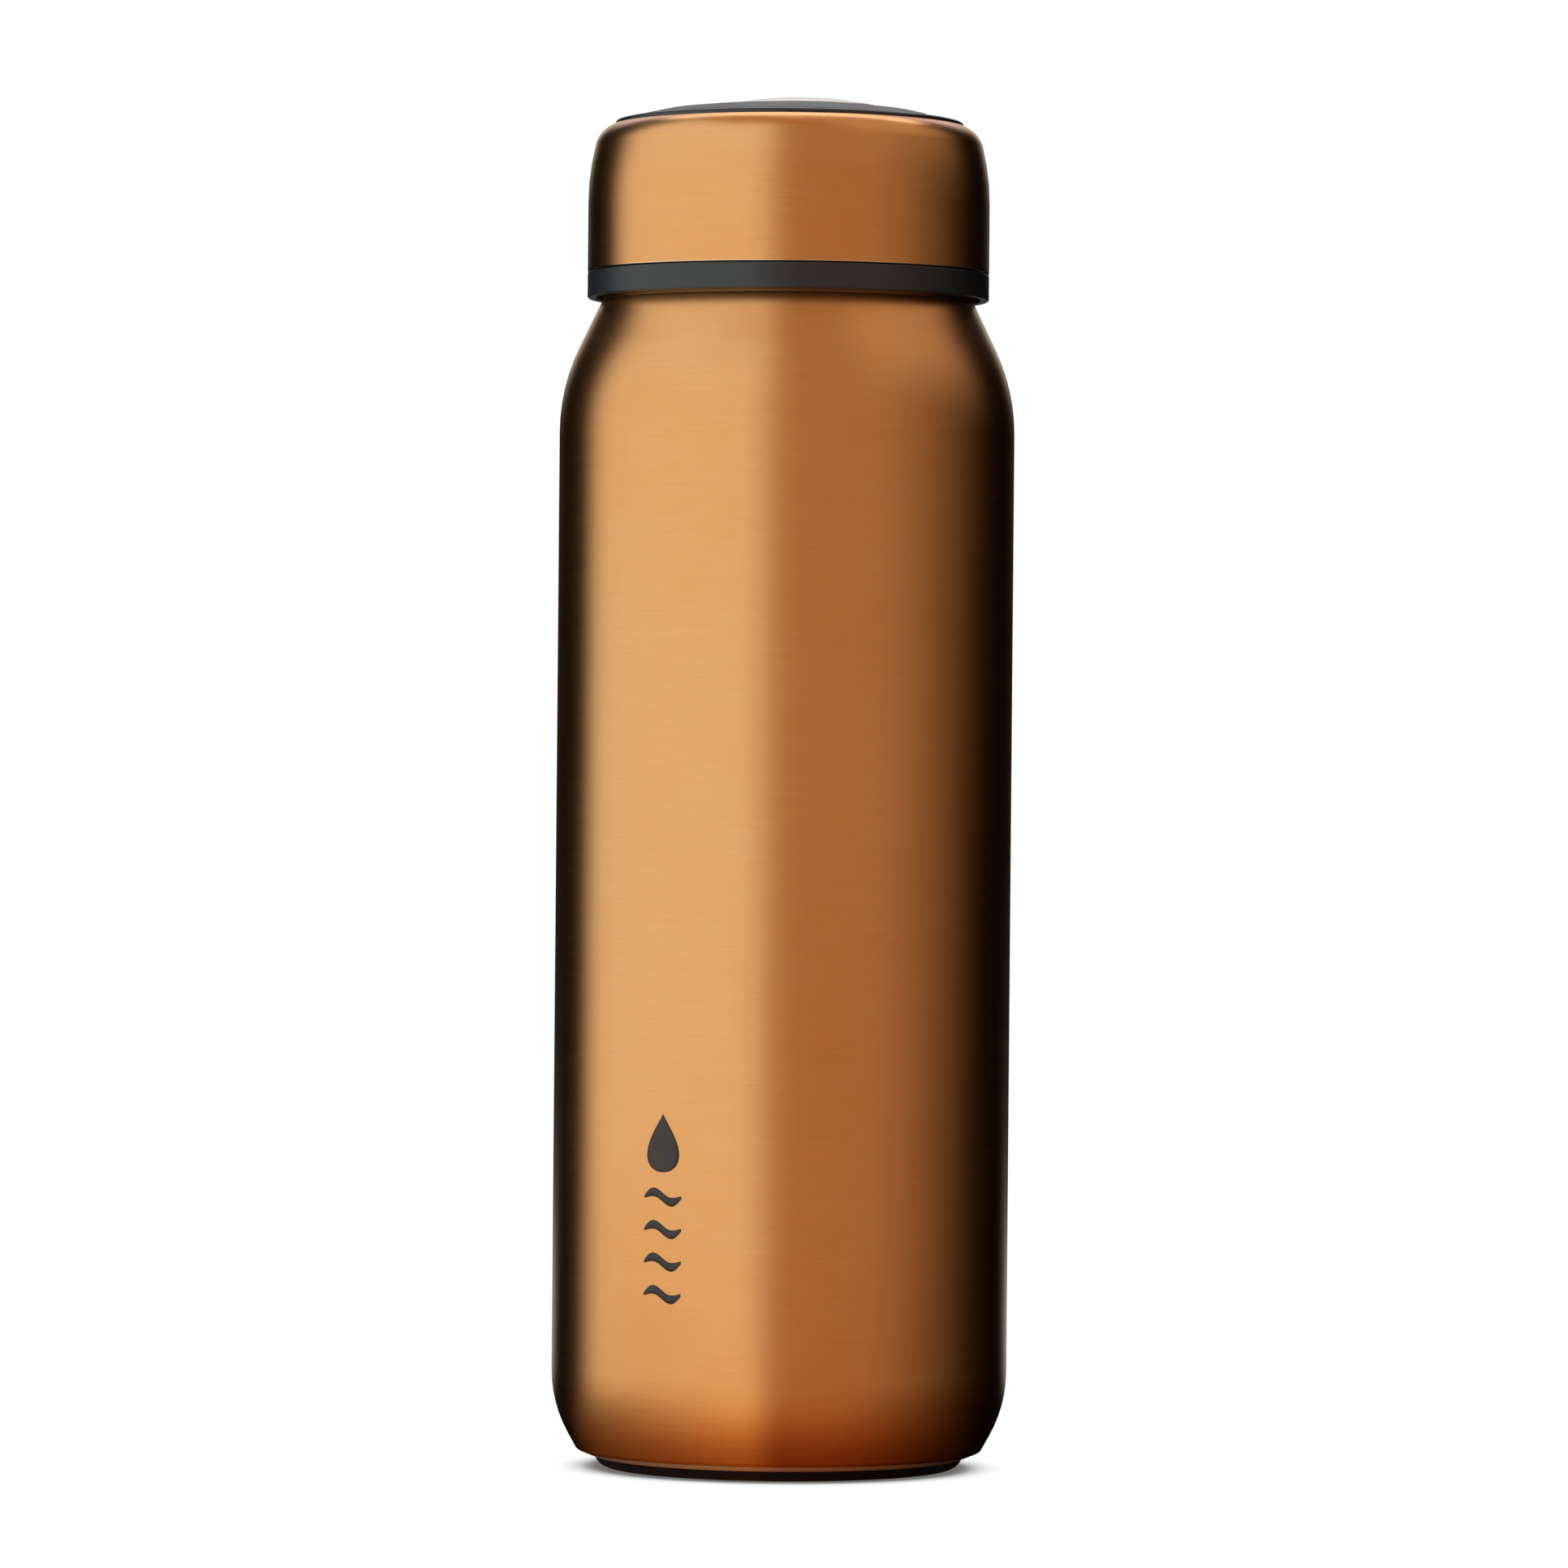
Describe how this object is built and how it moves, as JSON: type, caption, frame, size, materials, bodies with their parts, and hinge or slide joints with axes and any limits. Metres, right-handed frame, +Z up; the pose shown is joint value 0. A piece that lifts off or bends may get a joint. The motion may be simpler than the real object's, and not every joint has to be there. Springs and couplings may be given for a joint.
{
  "type": "insulated water bottle",
  "caption": "Double-wall insulated water bottle with a copper-tinted brushed steel shell, black spout collar and screw cap with a fold-flat carry loop.",
  "frame": {"origin": "middle of the standing face of the base pad", "axes": "+Z up along the bottle's axis, +X towards the hinge of the carry loop"},
  "size_m": [0.076, 0.076, 0.2287],
  "materials": {
    "copper_finish": "circumferentially brushed steel with a transparent copper tint",
    "bare_steel": "satin stainless steel",
    "disc_steel": "spun pale steel",
    "solder": "dull grey",
    "getter_alloy": "sintered dark grey",
    "copper_foil": "thin copper foil",
    "silicone": "matte black silicone",
    "clear_silicone": "translucent silicone",
    "black_plastic": "fine-textured black polypropylene",
    "clear_plastic": "clear glossy copolyester",
    "soft_touch": "soft-touch black over-moulding",
    "foam": "white closed-cell foam"
  },
  "bodies": {
    "bottle": {"outer_shell": "copper_finish", "inner_vessel": "bare_steel", "base_plate": "bare_steel", "vacuum_seal": "solder", "getter": "getter_alloy", "radiation_shield": "copper_foil", "base_pad": "silicone"},
    "collar_seal": {"collar_gasket": "clear_silicone"},
    "collar": {"collar_ring": "black_plastic", "drinking_spout": "clear_plastic", "spout_o_ring": "clear_silicone"},
    "cap_seal": {"cap_gasket": "clear_silicone"},
    "cap": {"cap_sleeve": "copper_finish", "cap_core": "black_plastic", "cap_screws": "bare_steel", "insulation_disc": "foam", "cap_top": "black_plastic", "top_disc": "disc_steel", "loop_hinge_pin": "bare_steel"},
    "loop": {"carry_loop": "soft_touch"}
  },
  "joints": [
    {"name": "collar_rise", "type": "slide", "parent": "bottle", "child": "collar_seal", "axis": [0, 0, 1], "range_m": [0, 0.0241]},
    {"name": "collar_twist", "type": "hinge", "parent": "collar_seal", "child": "collar", "pos_m": [0, 0, 0.2], "axis": [0, 0, 1], "range_deg": [0, 720]},
    {"name": "cap_rise", "type": "slide", "parent": "collar", "child": "cap_seal", "axis": [0, 0, 1], "range_m": [0, 0.0361]},
    {"name": "cap_twist", "type": "hinge", "parent": "cap_seal", "child": "cap", "pos_m": [0, 0, 0.212], "axis": [0, 0, 1], "range_deg": [0, 1080]},
    {"name": "loop_fold", "type": "hinge", "parent": "cap", "child": "loop", "pos_m": [0.025, 0, 0.2231], "axis": [0, 1, 0], "range_deg": [0, 95]}
  ],
  "couplings": [
    {"joint": "collar_rise", "follows": "collar_twist", "m_per_rad": 0.0019099},
    {"joint": "cap_rise", "follows": "cap_twist", "m_per_rad": 0.0019099}
  ]
}
